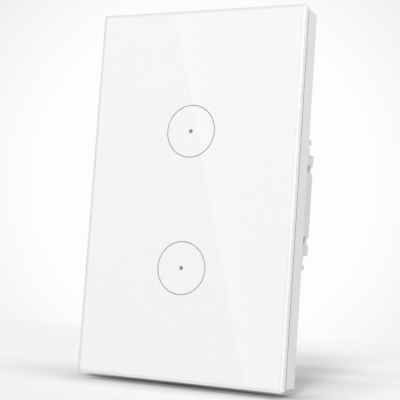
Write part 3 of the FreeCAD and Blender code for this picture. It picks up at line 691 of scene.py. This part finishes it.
def spiral(tree, steps, turns, radius, length):
    """Coil of one radius that climbs by its length."""
    sizes = {
        "Resolution": steps,
        "Rotations": turns,
        "Start Radius": radius,
        "End Radius": radius,
        "Height": length,
    }
    return add(tree, "GeometryNodeCurveSpiral", sizes)


def sweep(tree, path, section, closed_ends=False):
    """Section carried along the path; a path with two ends needs them closed."""
    curves = {"Curve": path, "Profile Curve": section, "Fill Caps": closed_ends}
    return add(tree, "GeometryNodeCurveToMesh", curves)


def moved(tree, shape, place):
    return add(tree, "GeometryNodeTransform", {"Geometry": shape, "Translation": place})


def at_two_places(tree, given, shape):
    """The shape at the first place and one step further, facing the room."""
    spots = {"Count": 2, "Start Location": given["First place"], "Offset": given["Step"]}
    places = add(tree, "GeometryNodeMeshLine", spots, mode="OFFSET")
    copies = {"Points": places, "Instance": shape, "Rotation": FACE_ROOM}
    return add(tree, "GeometryNodeInstanceOnPoints", copies)


# %% [markdown]
# ## Touch marks
# Each key is shown by a thin ring and a dot, printed on the glass. A circle gets a flat ribbon as its
# section, a dot is a thin disc, and both are set at each key. Ink this thin throws no shadow on the print
# behind, so the marks are left out of shadows and of the light that the print gets from them.

# %% Build the touch marks
key_x = -0.5 * MM
key_heights = (19.75 * MM, -23.65 * MM)
ring_radius = 8.3 * MM
ring_line = 0.3 * MM
ring_steps = 128
dot_radius = 0.65 * MM
dot_steps = 48
key_step = Vector((0.0, 0.0, key_heights[1] - key_heights[0]))
MARK_SIZES = (("Radius", "Float"), ("Thickness", "Float"), ("First place", "Vector"), ("Step", "Vector"))
mark_places = {
    "Thickness": mark_thickness,
    "First place": Vector((key_x, glass_low.y + mark_thickness / 2, key_heights[0])),
    "Step": key_step,
}


def ring_tree():
    tree, given = new_tree("touch_ring", (*MARK_SIZES, ("Line", "Float")))
    ribbon = rectangle(tree, given["Line"], given["Thickness"])
    ring = sweep(tree, circle(tree, ring_steps, given["Radius"]), ribbon)
    end_tree(tree, given, at_two_places(tree, given, ring))
    return tree


def dot_tree():
    tree, given = new_tree("touch_dot", MARK_SIZES)
    disc = {"Vertices": dot_steps, "Radius": given["Radius"], "Depth": given["Thickness"]}
    disc = add(tree, "GeometryNodeMeshCylinder", disc)
    end_tree(tree, given, at_two_places(tree, given, disc))
    return tree


def place_marks(name, tree, finish, sizes):
    marks = grow(tree, name, {"Finish": finish, **mark_places, **sizes})
    marks.visible_shadow = False
    marks.visible_diffuse = False
    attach(marks, "faceplate")


place_marks("touch_rings", ring_tree(), ring_ink, {"Radius": ring_radius, "Line": ring_line})
place_marks("touch_dots", dot_tree(), dot_ink, {"Radius": dot_radius})

# %% [markdown]
# ## Seam strip of painted shade
# Between the glass and the frame runs a thin dark line, the shadow in the gap of the joint. A dark strip
# level with the front of the foam tape, reaching nearly to the glass's edge, is painted shade for it. A
# rectangle with round corners is the path, and a flat strip is the section.

# %% Build the seam's strip of painted shade
tape_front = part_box("panel_tape")[0].y
shade_strip_inset = 0.05 * MM
shade_strip_band = 1.2 * MM
shade_strip_thickness = 0.2 * MM
shade_strip_radius = 0.6 * MM
shade_strip_corner_steps = 5
shade_strip_reach = 2 * shade_strip_inset + shade_strip_band
SHADE_STRIP_SIZES = (
    ("Width", "Float"),
    ("Height", "Float"),
    ("Corner", "Float"),
    ("Band", "Float"),
    ("Thickness", "Float"),
    ("Place", "Vector"),
)


def seam_shade_tree():
    tree, given = new_tree("seam_shade_strip", SHADE_STRIP_SIZES)
    round_corners = {
        "Curve": rectangle(tree, given["Width"], given["Height"]),
        "Count": shade_strip_corner_steps,
        "Radius": given["Corner"],
    }
    path = add(tree, "GeometryNodeFilletCurve", round_corners, mode="POLY")
    dark_strip = sweep(tree, path, rectangle(tree, given["Band"], given["Thickness"]))
    turned = {"Geometry": dark_strip, "Rotation": FACE_ROOM, "Translation": given["Place"]}
    end_tree(tree, given, add(tree, "GeometryNodeTransform", turned))
    return tree


# A dark strip of painted shade for the shadow in the seam gap, in the tape's dark finish.
seam_shade_strip = grow(seam_shade_tree(), "seam_shade_strip", {
    "Finish": tape_and_seam_shade,
    "Width": glass_high.x - glass_low.x - shade_strip_reach,
    "Height": glass_high.z - glass_low.z - shade_strip_reach,
    "Corner": shade_strip_radius,
    "Band": shade_strip_band,
    "Thickness": shade_strip_thickness,
    "Place": Vector((0.0, tape_front + shade_strip_thickness / 2, 0.0)),
})
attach(seam_shade_strip, "faceplate")

# %% [markdown]
# ## Touch springs
# Behind each key a coil of round wire carries the touch field from the board to the glass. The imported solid
# has square wire, to stay small. Here a spiral with a round section takes its place.

# %% Build the touch springs
spring_low, spring_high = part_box("touch_spring_upper")
wire_radius = 0.4 * MM
wire_sides = 12
spring_turns = 3.0
spring_steps = 36
SPRING_SIZES = (
    ("Radius", "Float"),
    ("Turns", "Float"),
    ("Length", "Float"),
    ("Wire", "Float"),
    ("First place", "Vector"),
    ("Step", "Vector"),
)


def spring_tree():
    tree, given = new_tree("touch_spring", SPRING_SIZES)
    path = spiral(tree, spring_steps, given["Turns"], given["Radius"], given["Length"])
    spring = sweep(tree, path, circle(tree, wire_sides, given["Wire"]), closed_ends=True)
    end_tree(tree, given, at_two_places(tree, given, spring))
    return tree


touch_springs = grow(spring_tree(), "touch_springs", {
    "Finish": spring_steel,
    "Radius": (spring_high.x - spring_low.x) / 2 - wire_radius,
    "Turns": spring_turns,
    "Length": spring_high.y - spring_low.y - 2 * wire_radius,
    "Wire": wire_radius,
    "First place": Vector((key_x, spring_high.y - wire_radius, key_heights[0])),
    "Step": key_step,
})
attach(touch_springs, body_of["touch_spring_upper"])
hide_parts("touch_spring_upper", "touch_spring_lower")

# %% [markdown]
# ## Cover screws
# Four pan head screws with a cross recess hold the cover, the touch board, the frame and the housing
# together. One screw is built, with a real recess and a real thread, and set at the corners of a rectangle.
# The two bars that cut the recess go into the Boolean node one by one, because it takes each of its cutters
# as a closed body, and two bars joined beforehand would cross inside one.

# %% Sizes of the cover screws
screws_low, screws_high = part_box("cover_screws")
head_radius = 2.7 * MM
head_top_radius = 2.1 * MM
head_height = 0.8 * MM
head_steps = 32
recess_width = 0.75 * MM
recess_length = 3.0 * MM
recess_depth = 0.55 * MM
shank_radius = 1.15 * MM
shank_sink = 0.2 * MM
shank_steps = 24
screw_length = screws_high.y - screws_low.y - head_height
thread_depth = 0.28 * MM
thread_pitch = 1.1 * MM
thread_length = 0.9 * screw_length
thread_steps = 20
thread_sides = 3
SCREW_SIZES = (
    ("Head radius", "Float"),
    ("Head top radius", "Float"),
    ("Head height", "Float"),
    ("Recess across", "Vector"),
    ("Recess along", "Vector"),
    ("Recess place", "Vector"),
    ("Shank radius", "Float"),
    ("Shank length", "Float"),
    ("Shank place", "Vector"),
    ("Thread turns", "Float"),
    ("Thread depth", "Float"),
    ("Thread drop", "Float"),
    ("Across", "Float"),
    ("Up", "Float"),
    ("Place", "Vector"),
)
print("screw length under the head in mm:", round(screw_length / MM, 2))

# %% Build the cover screws
def screw_head(tree, given):
    """Flat cone with a cross cut into its top."""
    rim = {
        "Vertices": head_steps,
        "Radius Top": given["Head top radius"],
        "Radius Bottom": given["Head radius"],
        "Depth": given["Head height"],
    }
    head = add(tree, "GeometryNodeMeshCone", rim)
    head = add(tree, "GeometryNodeMeshBoolean", {"Mesh 1": head}, operation="DIFFERENCE", solver="EXACT")
    for size in (given["Recess across"], given["Recess along"]):
        bar = moved(tree, add(tree, "GeometryNodeMeshCube", {"Size": size}), given["Recess place"])
        tree.links.new(bar, live_socket(head.node.inputs, "Mesh 2"))
    return head


def screw_shank(tree, given):
    """Plain core with a three-sided ridge wound round it."""
    core = {"Vertices": shank_steps, "Radius": given["Shank radius"], "Depth": given["Shank length"]}
    core = moved(tree, add(tree, "GeometryNodeMeshCylinder", core), given["Shank place"])
    path = spiral(tree, thread_steps, given["Thread turns"], given["Shank radius"], given["Thread drop"])
    thread = sweep(tree, path, circle(tree, thread_sides, given["Thread depth"]), closed_ends=True)
    return join(tree, [core, thread])


def screw_tree():
    tree, given = new_tree("cover_screw", SCREW_SIZES)
    screw = join(tree, [screw_head(tree, given), screw_shank(tree, given)])
    spots = {"Size X": given["Across"], "Size Y": given["Up"], "Vertices X": 2, "Vertices Y": 2}
    corners = add(tree, "GeometryNodeMeshGrid", spots)
    screws = add(tree, "GeometryNodeInstanceOnPoints", {"Points": corners, "Instance": screw})
    turned = {"Geometry": screws, "Rotation": FACE_ROOM, "Translation": given["Place"]}
    end_tree(tree, given, add(tree, "GeometryNodeTransform", turned))
    return tree


screw_set = grow(screw_tree(), "cover_screw_set", {
    "Finish": zinc_steel,
    "Head radius": head_radius,
    "Head top radius": head_top_radius,
    "Head height": head_height,
    "Recess across": Vector((recess_length, recess_width, 2 * recess_depth)),
    "Recess along": Vector((recess_width, recess_length, 2 * recess_depth)),
    "Recess place": Vector((0.0, 0.0, head_height)),
    "Shank radius": shank_radius,
    "Shank length": screw_length + shank_sink,
    "Shank place": Vector((0.0, 0.0, (shank_sink - screw_length) / 2)),
    "Thread turns": thread_length / thread_pitch,
    "Thread depth": thread_depth,
    "Thread drop": -thread_length,
    "Across": screws_high.x - screws_low.x - 2 * head_radius,
    "Up": screws_high.z - screws_low.z - 2 * head_radius,
    "Place": Vector((0.0, screws_low.y + head_height, 0.0)),
})
stand_for(screw_set, "cover_screws")

# %% [markdown]
# ## Relay windings
# A relay coil is hundreds of turns of thin copper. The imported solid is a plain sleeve. Here the outer layer
# is real wire, one long spiral over a sleeve, and the same tree makes the coil of both relays.

# %% Sizes of the relay windings
left_low, left_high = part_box("relay_winding_left")
right_low, right_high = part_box("relay_winding_right")
turn_wire = 0.14 * MM
turn_steps = 24
turn_sides = 6
sleeve_wall = 0.8 * MM
sleeve_steps = 48
winding_radius = (left_high.x - left_low.x) / 2
winding_length = left_high.y - left_low.y
winding_turns = winding_length / (2 * turn_wire) - 1
WINDING_SIZES = (
    ("Radius", "Float"),
    ("Turns", "Float"),
    ("Rise", "Float"),
    ("Wire", "Float"),
    ("Wire start", "Vector"),
    ("Sleeve radius", "Float"),
    ("Sleeve wall", "Float"),
    ("Sleeve length", "Float"),
    ("Sleeve place", "Vector"),
    ("First place", "Vector"),
    ("Step", "Vector"),
)
print("turns of wire in the outer layer:", round(winding_turns))

# %% Build the relay windings
def rear_middle(low, high):
    """Middle of a box's rear face."""
    return Vector(((low.x + high.x) / 2, high.y, (low.z + high.z) / 2))


def winding_tree():
    tree, given = new_tree("relay_winding", WINDING_SIZES)
    path = spiral(tree, turn_steps, given["Turns"], given["Radius"], given["Rise"])
    path = moved(tree, path, given["Wire start"])
    turns = sweep(tree, path, circle(tree, turn_sides, given["Wire"]), closed_ends=True)
    wall = rectangle(tree, given["Sleeve wall"], given["Sleeve length"])
    sleeve = sweep(tree, circle(tree, sleeve_steps, given["Sleeve radius"]), wall)
    sleeve = moved(tree, sleeve, given["Sleeve place"])
    end_tree(tree, given, at_two_places(tree, given, join(tree, [turns, sleeve])))
    return tree


left_place = rear_middle(left_low, left_high)
relay_turns = grow(winding_tree(), "relay_turns", {
    "Finish": copper_wire,
    "Radius": winding_radius - turn_wire,
    "Turns": winding_turns,
    "Rise": winding_length - 2 * turn_wire,
    "Wire": turn_wire,
    "Wire start": Vector((0.0, 0.0, turn_wire)),
    "Sleeve radius": winding_radius - turn_wire - sleeve_wall / 2,
    "Sleeve wall": sleeve_wall,
    "Sleeve length": winding_length,
    "Sleeve place": Vector((0.0, 0.0, winding_length / 2)),
    "First place": left_place,
    "Step": rear_middle(right_low, right_high) - left_place,
})
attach(relay_turns, body_of["relay_winding_left"])
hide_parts("relay_winding_left", "relay_winding_right")

# %% [markdown]
# ## Studio floor
# The photograph is a plain white studio: a pale floor that runs into a pale background with no line between
# them. The floor is an ordinary matt surface near the plate, so that it keeps the shadow, and turns clear
# further out, where the world's own white takes over. It is clear from below too, so that nothing hides the
# underside, and reflections don't see it, so that the slanting line on the glass runs down to its foot.
# A light tent lights a floor less close to what stands on it than one lamp can show. So four soft painted
# shadows are part of its colour: under the foot, along its front edge, behind it and along the shadow, and
# painted shade makes it a little darker towards the front.

# %% Sizes and zones of the floor
floor_gap = 1.3 * MM
floor_half = 3.0
floor_z = cad_low.z - floor_gap
floor_roughness = 0.9
floor_bounce = 0.5
fade_start = 0.1
fade_end = 0.7
# Painted shade: the floor's colour is a little darker towards the front and full towards the back.
front_dim = 0.93
front_dim_y = -70 * MM
rear_bright = 1.0
rear_bright_y = 60 * MM
# Painted shadows in the floor's colour: each box, and how its shade fades with distance from it.
foot_shadow_box = (Vector((-20.0, -10.4, 0.0)) * MM, Vector((35.0, 0.0, 0.0)) * MM)
foot_shadow_stops = ((0.0, 0.8), (4 * MM, 0.84), (8 * MM, 0.9), (13 * MM, 0.95), (25 * MM, 1.0))
edge_shadow_box = (Vector((-27.0, -13.0, 0.0)) * MM, Vector((34.0, -6.0, 0.0)) * MM)
edge_shadow_stops = ((0.0, 0.43), (4 * MM, 0.78), (8 * MM, 0.9), (13 * MM, 0.97), (25 * MM, 1.0))
rear_shadow_box = (Vector((-5.0, 0.0, 0.0)) * MM, Vector((12.0, 70.0, 0.0)) * MM)
rear_shadow_stops = ((0.0, 0.74), (7 * MM, 0.81), (14 * MM, 0.86), (24 * MM, 0.93), (40 * MM, 1.0))
tail_shadow_box = (Vector((-20.0, 15.0, 0.0)) * MM, Vector((-10.0, 142.0, 0.0)) * MM)
tail_shadow_stops = ((0.0, 0.79), (12 * MM, 0.83), (25 * MM, 0.92), (40 * MM, 0.95), (60 * MM, 1.0))
painted_shadow_zones = (
    (foot_shadow_box, foot_shadow_stops),
    (edge_shadow_box, edge_shadow_stops),
    (rear_shadow_box, rear_shadow_stops),
    (tail_shadow_box, tail_shadow_stops),
)
print("floor height in mm:", round(floor_z / MM, 1), "zones:", len(painted_shadow_zones))

# %% Colour of the floor
ANY_HEIGHT = 1.0


def shade_round(tree, place, low, high, stops):
    """Shade that depends on how far the floor is from a standing box; stops are (metres, value)."""
    middle = (low + high) / 2
    half = (high - low) / 2
    half.z = ANY_HEIGHT
    beyond = vector_step(tree, "SUBTRACT", place, middle)
    beyond = vector_step(tree, "ABSOLUTE", beyond)
    beyond = vector_step(tree, "SUBTRACT", beyond, half)
    beyond = vector_step(tree, "MAXIMUM", beyond, (0.0, 0.0, 0.0))
    reach = stops[-1][0]
    share = math_step(tree, "DIVIDE", vector_step(tree, "LENGTH", beyond), reach)
    return colour_ramp(tree, share, [(distance / reach, grey(value)) for distance, value in stops])


def floor_shade(tree, place):
    """All painted shadows on one another, and painted shade a little darker towards the front."""
    zones = [shade_round(tree, place, *box, stops) for box, stops in painted_shadow_zones]
    shade = zones[0]
    for zone in zones[1:]:
        shade = vector_step(tree, "MULTIPLY", shade, zone)
    depth = tree.nodes.new("ShaderNodeSeparateXYZ")
    tree.links.new(place, depth.inputs[0])
    rise = carry_range(tree, depth.outputs["Y"], front_dim_y, rear_bright_y, front_dim, rear_bright)
    shade = vector_step(tree, "SCALE", shade)
    tree.links.new(rise, shade.node.inputs["Scale"])
    return shade


def floor_cover(tree, place):
    """How much of the floor is there: all near the plate, none far out and none from below."""
    far = vector_step(tree, "LENGTH", place)
    fade = carry_range(tree, far, fade_start, fade_end, 1.0, 0.0, smooth=True)
    from_below = tree.nodes.new("ShaderNodeNewGeometry").outputs["Backfacing"]
    return math_step(tree, "MULTIPLY", fade, math_step(tree, "SUBTRACT", 1.0, from_below))


# %% Make the floor
def flat_sheet(name, middle, across, along):
    """One flat face with this middle and these half sides."""
    signs = ((-1, -1), (1, -1), (1, 1), (-1, 1))
    mesh = bpy.data.meshes.new(name)
    mesh.from_pydata([middle + across * i + along * j for i, j in signs], [], [(0, 1, 2, 3)])
    return add_piece(name, mesh)


def make_floor():
    finish, shader, place = new_finish("studio_floor", grey(floor_bounce), floor_roughness)
    shader.inputs["Specular IOR Level"].default_value = 0.0
    tree = finish.node_tree
    colour = tree.nodes.new("ShaderNodeMix")
    colour.data_type = "RGBA"
    live_socket(colour.inputs, "A").default_value = (*grey(floor_bounce), 1.0)
    tree.links.new(floor_shade(tree, place), live_socket(colour.inputs, "B"))
    path = tree.nodes.new("ShaderNodeLightPath")
    tree.links.new(path.outputs["Is Camera Ray"], live_socket(colour.inputs, "Factor"))
    tree.links.new(live_socket(colour.outputs, "Result"), shader.inputs["Base Color"])
    tree.links.new(floor_cover(tree, place), shader.inputs["Alpha"])
    middle = Vector((0.0, 0.0, floor_z))
    across = Vector((floor_half, 0.0, 0.0))
    along = Vector((0.0, floor_half, 0.0))
    floor = flat_sheet("floor", middle, across, along)
    set_finish(floor, finish)
    floor.visible_glossy = False
    print("floor across in m:", 2 * floor_half)


make_floor()

# %% [markdown]
# ## World
# Such photographs are taken in a light tent, which sends weak light from all sides. Here it is a little
# stronger from the right and above, because the frame's right side is nearly as light as its front. What the
# camera sees of the world is a plain near-white that falls off a little away from the plate, like the
# photograph's background. A dot product says how far a direction has turned away from an axis.

# %% World light and background
fill_axis = Vector((0.7, 0.3, 0.65)).normalized()
fill_near = (1.0, 0.96)
fill_far = (0.3, 0.54)
view_axis = (Vector((0.0, 0.0, 5.0 * MM)) - camera_place).normalized()
background_near = (0.988, 0.98)
background_far = (0.968, 0.856)


def graded_background(tree, direction, axis, near, far):
    """White whose strength changes as the direction turns off the axis; near and far are (dot, strength)."""
    dot = vector_step(tree, "DOT_PRODUCT", direction, axis)
    background = tree.nodes.new("ShaderNodeBackground")
    background.inputs["Color"].default_value = (*grey(1.0), 1.0)
    strength = carry_range(tree, dot, far[0], near[0], far[1], near[1])
    tree.links.new(strength, background.inputs["Strength"])
    return background.outputs["Background"]


def make_world():
    world = bpy.data.worlds.new("studio")
    bpy.context.scene.world = world
    world.use_nodes = True
    tree = world.node_tree
    tree.nodes.remove(tree.nodes["Background"])
    direction = tree.nodes.new("ShaderNodeTexCoord").outputs["Generated"]
    light = graded_background(tree, direction, fill_axis, fill_near, fill_far)
    seen = graded_background(tree, direction, view_axis, background_near, background_far)
    path = tree.nodes.new("ShaderNodeLightPath")
    mix = tree.nodes.new("ShaderNodeMixShader")
    tree.links.new(path.outputs["Is Camera Ray"], mix.inputs["Fac"])
    tree.links.new(light, mix.inputs[1])
    tree.links.new(seen, mix.inputs[2])
    tree.links.new(mix.outputs["Shader"], tree.nodes["World Output"].inputs["Surface"])
    print("world nodes:", len(tree.nodes))


make_world()

# %% [markdown]
# ## Lamp
# One soft lamp stands in front, a little to the right. The plate's shadow on the floor tells where: its side
# runs 15 degrees off straight back, and it is two and a half times as long as the plate is high, so the
# lamp is 22 degrees up.

# %% Lamp
plate_middle = Vector((0.0, glass_low.y, 0.0))
lamp_turn = math.radians(15.5)
lamp_rise = math.radians(22)
lamp_distance = 3.0
lamp_size = 0.45
lamp_watts = 55.0


def make_lamp():
    level = math.cos(lamp_rise)
    direction = Vector((level * math.sin(lamp_turn), -level * math.cos(lamp_turn), math.sin(lamp_rise)))
    light = bpy.data.lights.new("front_lamp", "AREA")
    light.shape = "DISK"
    light.size = lamp_size
    light.energy = lamp_watts
    lamp = add_piece("front_lamp", light)
    lamp.location = plate_middle + direction * lamp_distance
    lamp.rotation_euler = direction.to_track_quat("Z", "Y").to_euler()
    lamp.visible_camera = False
    print("lamp place in m:", [round(v, 2) for v in lamp.location])


make_lamp()

# %% [markdown]
# ## The reflected cards
# Flat glass shows what stands before it. In the photograph a slanting line crosses the plate, lighter on its
# right: the edge of a white card in the mirror image. So there is a card here too, in front and to the left,
# out of view. Only glossy rays see it, so it adds a reflection and no light. The line is a step in its glow:
# dim up to the line, brightest just past it, and then fading to the right, as on a card that a lamp lights
# from one side. A second card at the right gives the right bevel its bright line.

# %% Helper for a reflected card
def glowing_card(name, middle, along, across, half_length, half_width, glow, stops):
    """Card that only glossy rays see; stops are (share of its width, brightness)."""
    finish, shader, place = new_finish(name + "_glow", grey(0.0), 1.0)
    tree = finish.node_tree
    centre = across.dot(middle)
    offset = vector_step(tree, "DOT_PRODUCT", place, across)
    share = carry_range(tree, offset, centre - half_width, centre + half_width, 0.0, 1.0)
    shade = colour_ramp(tree, share, [(position, grey(value)) for position, value in stops])
    tree.links.new(shade, shader.inputs["Emission Color"])
    shader.inputs["Emission Strength"].default_value = glow
    shader.inputs["Specular IOR Level"].default_value = 0.0
    card = flat_sheet(name, middle, across * half_width, along * half_length)
    set_finish(card, finish)
    card.visible_camera = False
    card.visible_diffuse = False
    card.visible_transmission = False
    card.visible_shadow = False
    print(name, "place in m:", [round(v, 2) for v in middle])


# %% Reflection cards
edge_top = Vector((-0.832, -1.5, 0.496))
edge_foot = Vector((-0.641, -1.5, -0.178))
front_along = (edge_foot - edge_top).normalized()
front_across = Vector((-front_along.z, 0.0, front_along.x))
front_half = 0.5
front_glow = 1.4
front_stops = ((0.0, 0.75), (0.499, 0.4), (0.501, 0.9), (0.53, 0.7), (0.6, 0.52), (1.0, 0.35))
front_middle = (edge_top + edge_foot) / 2
glowing_card(
    "front_card", front_middle, front_along, front_across,
    front_half, front_half, front_glow, front_stops,
)

side_middle = Vector((0.651, -1.033, 0.118))
side_along = Vector((0.0, 0.0, 1.0))
side_across = Vector((0.853, 0.513, 0.0)).normalized()
side_half_length = 0.6
side_half_width = 0.25
side_glow = 4.3
side_stops = ((0.0, 1.0), (1.0, 1.0))
glowing_card(
    "side_card", side_middle, side_along, side_across,
    side_half_length, side_half_width, side_glow, side_stops,
)
